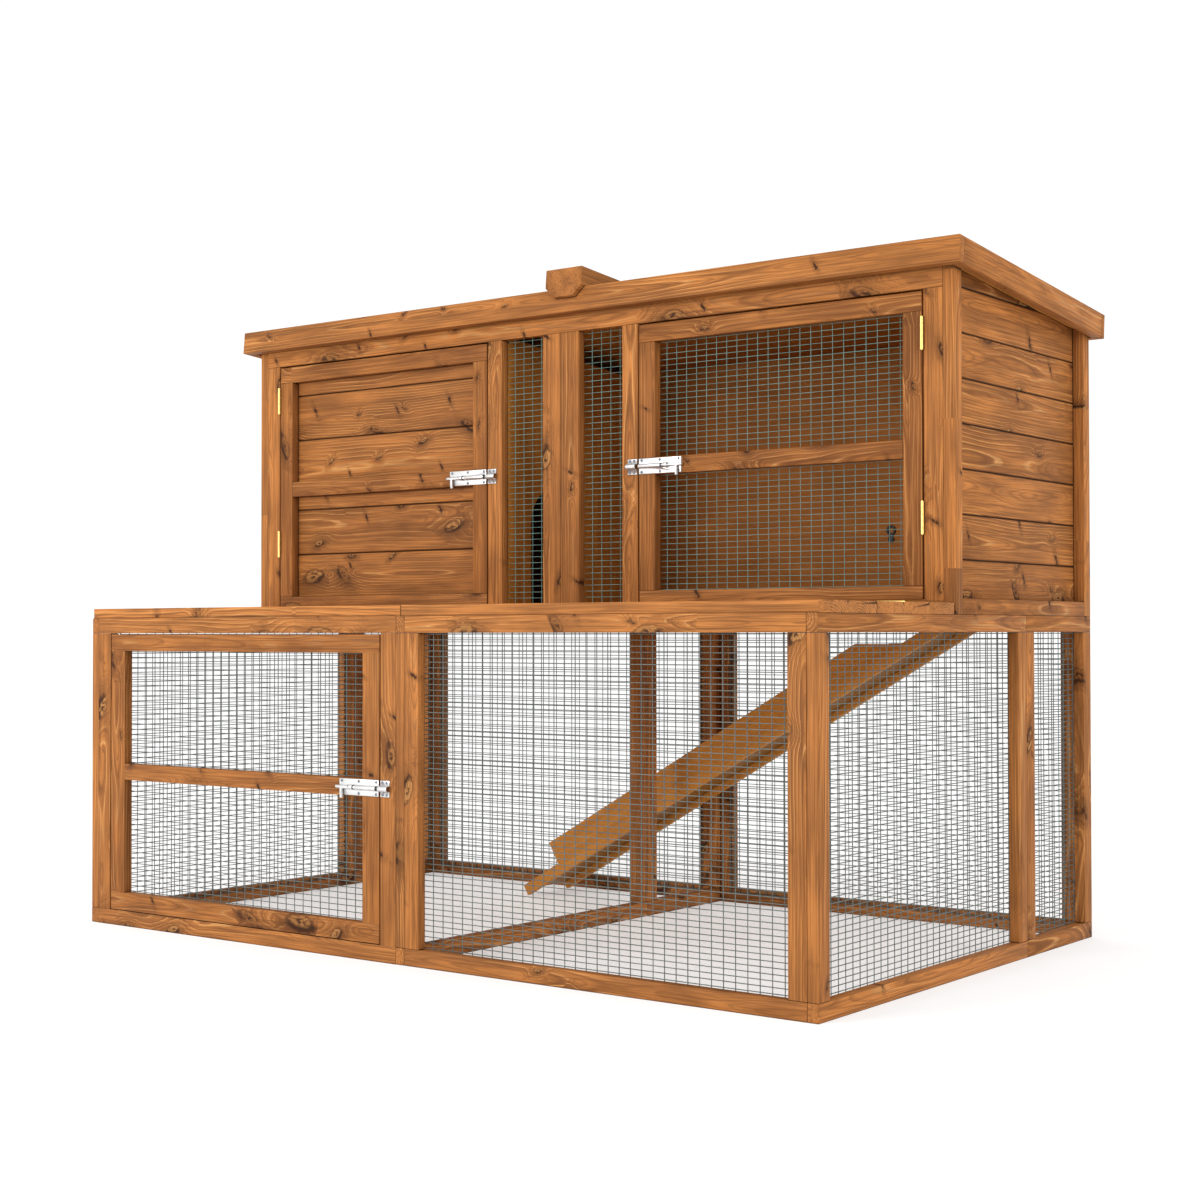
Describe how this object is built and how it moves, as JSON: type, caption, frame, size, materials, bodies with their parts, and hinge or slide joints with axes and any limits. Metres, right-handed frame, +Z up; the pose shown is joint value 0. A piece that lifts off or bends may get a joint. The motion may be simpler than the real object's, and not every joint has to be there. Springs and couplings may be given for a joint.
{
  "type": "rabbit hutch with run",
  "caption": "Wooden rabbit hutch with a sloping roof on a wire-mesh run, with lifting lids, hinged doors, sliding bolts and an inside ramp.",
  "frame": {"origin": "on the ground, under the middle of the whole outline", "axes": "+X to the right along the front, +Y to the back, +Z up"},
  "size_m": [1.912, 1.1682, 1.4118],
  "materials": {
    "stained_pine": "satin stain on knotty pine",
    "dark_pine": "satin stain on darker pine",
    "plywood": "matt stain on plywood",
    "galvanised_wire": "dull galvanised wire",
    "zinc_plate": "bright zinc plating",
    "brass": "bright brass plating",
    "roof_felt": "mineral-faced roofing felt",
    "black_plastic": "matt black"
  },
  "bodies": {
    "frame": {"run_left_front_panel": "stained_pine", "run_left_rear_panel": "stained_pine", "run_divider_front_panel": "stained_pine", "run_divider_rear_panel": "stained_pine", "run_right_front_panel": "stained_pine", "run_right_rear_panel": "stained_pine", "run_back_panels": "stained_pine", "run_front_mesh_panel": "stained_pine", "run_door_surround": "stained_pine", "run_left_wall_mesh": "galvanised_wire", "run_right_wall_mesh": "galvanised_wire", "run_back_mesh": "galvanised_wire", "run_front_mesh": "galvanised_wire", "run_door_pivot_pins": "zinc_plate", "lid_hinge_fixed_leaves": "brass", "hutch_corner_posts": "dark_pine", "hutch_front_frame": "stained_pine", "hutch_centre_post": "stained_pine", "hutch_side_rails": "stained_pine", "hutch_back_frame": "stained_pine", "hutch_floor": "plywood", "hutch_left_side_boards": "stained_pine", "hutch_right_side_boards": "stained_pine", "hutch_back_boards": "dark_pine", "hutch_partition": "dark_pine", "hutch_window_mesh": "galvanised_wire", "bottle_hook": "black_plastic", "door_hinge_fixed_leaves": "brass", "hinge_pins": "brass", "bolt_keepers": "zinc_plate", "roof_deck": "plywood", "roof_felt": "roof_felt", "roof_fascia": "stained_pine", "roof_batten": "stained_pine", "ramp_tread": "plywood", "ramp_sides": "plywood", "ramp_cleats": "plywood"},
    "left_door": {"left_door_frame": "dark_pine", "left_door_boards": "stained_pine", "left_door_hinge_leaves": "brass", "left_bolt_plate": "zinc_plate"},
    "right_door": {"right_door_frame": "dark_pine", "right_door_mesh": "galvanised_wire", "right_door_hinge_leaves": "brass", "right_bolt_plate": "zinc_plate"},
    "run_door": {"run_door_frame": "dark_pine", "run_door_mesh": "galvanised_wire", "run_bolt_plate": "zinc_plate"},
    "left_lid": {"left_lid_boards": "stained_pine", "left_lid_battens": "stained_pine", "left_lid_hinge_leaves": "brass"},
    "right_lid": {"right_lid_boards": "stained_pine", "right_lid_battens": "stained_pine", "right_lid_hinge_leaves": "brass"},
    "left_bolt": {"left_bolt_rod": "zinc_plate"},
    "right_bolt": {"right_bolt_rod": "zinc_plate"},
    "run_bolt": {"run_bolt_rod": "zinc_plate"}
  },
  "joints": [
    {"name": "left_hutch_door", "type": "hinge", "parent": "frame", "child": "left_door", "pos_m": [-0.863, -0.07899, 0.9905], "axis": [0, 0, 1], "range_deg": [-100, 0]},
    {"name": "right_hutch_door", "type": "hinge", "parent": "frame", "child": "right_door", "pos_m": [0.863, -0.07899, 0.9905], "axis": [0, 0, -1], "range_deg": [-100, 0]},
    {"name": "run_door", "type": "hinge", "parent": "frame", "child": "run_door", "pos_m": [-0.853, -0.56269, 0.336], "axis": [0, 0, 1], "range_deg": [-95, 0]},
    {"name": "left_lid", "type": "hinge", "parent": "frame", "child": "left_lid", "pos_m": [-0.47, -0.07899, 0.6973], "axis": [-1, 0, 0], "range_deg": [0, 80]},
    {"name": "right_lid", "type": "hinge", "parent": "frame", "child": "right_lid", "pos_m": [0.47, -0.07899, 0.6973], "axis": [-1, 0, 0], "range_deg": [0, 80]},
    {"name": "left_bolt", "type": "slide", "parent": "left_door", "child": "left_bolt", "axis": [1, 0, 0], "range_m": [0, 0.018]},
    {"name": "right_bolt", "type": "slide", "parent": "right_door", "child": "right_bolt", "axis": [-1, 0, 0], "range_m": [0, 0.018]},
    {"name": "run_bolt", "type": "slide", "parent": "run_door", "child": "run_bolt", "axis": [1, 0, 0], "range_m": [0, 0.018]}
  ]
}
